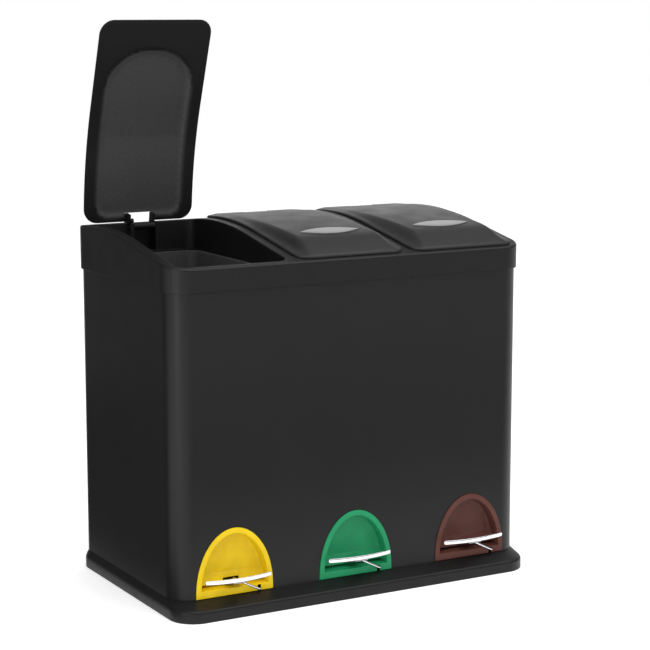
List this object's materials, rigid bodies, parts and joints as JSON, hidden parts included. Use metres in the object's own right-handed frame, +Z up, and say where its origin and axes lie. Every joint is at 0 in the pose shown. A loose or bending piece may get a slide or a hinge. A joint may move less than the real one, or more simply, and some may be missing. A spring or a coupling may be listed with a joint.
{
  "type": "pedal recycling bin",
  "caption": "Indoor pedal bin with separate lidded compartments in one steel body, coloured toe recesses and lift-out liners.",
  "frame": {"origin": "on the floor under the middle of the steel body, on the plinth underside", "axes": "+Z up, the pedals and front panel face -Y, +X to the right seen from the front"},
  "size_m": [0.447, 0.2837, 0.6302],
  "materials": {
    "black_plastic": "fine moulded grain",
    "painted_steel": "satin black powder coat",
    "liner_plastic": "satin",
    "yellow_plastic": "satin moulded",
    "green_plastic": "satin moulded",
    "brown_plastic": "satin moulded",
    "chrome": "polished",
    "zinc_steel": "dull zinc plate",
    "black_steel": "satin black",
    "brushed_metal": "brushed lengthwise",
    "rubber": "matt"
  },
  "bodies": {
    "station": {"base_plinth": "black_plastic", "rubber_feet": "rubber", "body_shell": "painted_steel", "inner_deck": "black_plastic", "top_collar": "black_plastic", "pedal_recess_left": "yellow_plastic", "liner_left": "liner_plastic", "hinge_pin_left": "zinc_steel", "lever_pin_left": "zinc_steel", "pedal_recess_middle": "green_plastic", "liner_middle": "liner_plastic", "hinge_pin_middle": "zinc_steel", "lever_pin_middle": "zinc_steel", "pedal_recess_right": "brown_plastic", "liner_right": "liner_plastic", "hinge_pin_right": "zinc_steel", "lever_pin_right": "zinc_steel"},
    "lid_left_group": {"lid_left": "black_plastic", "lid_badge_left": "brushed_metal", "lid_bracket_left": "black_steel"},
    "rod_left_group": {"push_rod_left": "black_steel"},
    "pedal_left_group": {"pedal_lever_left": "zinc_steel", "pedal_tread_left": "chrome", "pedal_brace_left": "chrome"},
    "lid_middle_group": {"lid_middle": "black_plastic", "lid_badge_middle": "brushed_metal", "lid_bracket_middle": "black_steel"},
    "rod_middle_group": {"push_rod_middle": "black_steel"},
    "pedal_middle_group": {"pedal_lever_middle": "zinc_steel", "pedal_tread_middle": "chrome", "pedal_brace_middle": "chrome"},
    "lid_right_group": {"lid_right": "black_plastic", "lid_badge_right": "brushed_metal", "lid_bracket_right": "black_steel"},
    "rod_right_group": {"push_rod_right": "black_steel"},
    "pedal_right_group": {"pedal_lever_right": "zinc_steel", "pedal_tread_right": "chrome", "pedal_brace_right": "chrome"}
  },
  "joints": [
    {"name": "lid_left_hinge", "type": "hinge", "parent": "station", "child": "lid_left_group", "pos_m": [-0.14517, 0.116, 0.3943], "axis": [-1, 0, 0], "range_deg": [-80.5, 0]},
    {"name": "rod_left_slide", "type": "slide", "parent": "station", "child": "rod_left_group", "axis": [0, 0, 1], "range_m": [-0.01553, 0]},
    {"name": "pedal_left_pivot", "type": "hinge", "parent": "station", "child": "pedal_left_group", "pos_m": [-0.1503, -0.1, 0.036], "axis": [1, 0, 0], "range_deg": [-4.34, 0]},
    {"name": "lid_middle_hinge", "type": "hinge", "parent": "station", "child": "lid_middle_group", "pos_m": [0, 0.116, 0.3943], "axis": [-1, 0, 0], "range_deg": [0, 80.5]},
    {"name": "rod_middle_slide", "type": "slide", "parent": "station", "child": "rod_middle_group", "axis": [0, 0, 1], "range_m": [0, 0.01553]},
    {"name": "pedal_middle_pivot", "type": "hinge", "parent": "station", "child": "pedal_middle_group", "pos_m": [0, -0.1, 0.036], "axis": [1, 0, 0], "range_deg": [0, 4.34]},
    {"name": "lid_right_hinge", "type": "hinge", "parent": "station", "child": "lid_right_group", "pos_m": [0.14517, 0.116, 0.3943], "axis": [-1, 0, 0], "range_deg": [0, 80.5]},
    {"name": "rod_right_slide", "type": "slide", "parent": "station", "child": "rod_right_group", "axis": [0, 0, 1], "range_m": [0, 0.01553]},
    {"name": "pedal_right_pivot", "type": "hinge", "parent": "station", "child": "pedal_right_group", "pos_m": [0.1503, -0.1, 0.036], "axis": [1, 0, 0], "range_deg": [0, 4.34]}
  ],
  "couplings": [
    {"joint": "rod_left_slide", "follows": "lid_left_hinge", "m_per_rad": 0.011037},
    {"joint": "pedal_left_pivot", "follows": "lid_left_hinge", "ratio": 0.05378},
    {"joint": "rod_middle_slide", "follows": "lid_middle_hinge", "m_per_rad": 0.011037},
    {"joint": "pedal_middle_pivot", "follows": "lid_middle_hinge", "ratio": 0.05378},
    {"joint": "rod_right_slide", "follows": "lid_right_hinge", "m_per_rad": 0.011037},
    {"joint": "pedal_right_pivot", "follows": "lid_right_hinge", "ratio": 0.05378}
  ]
}
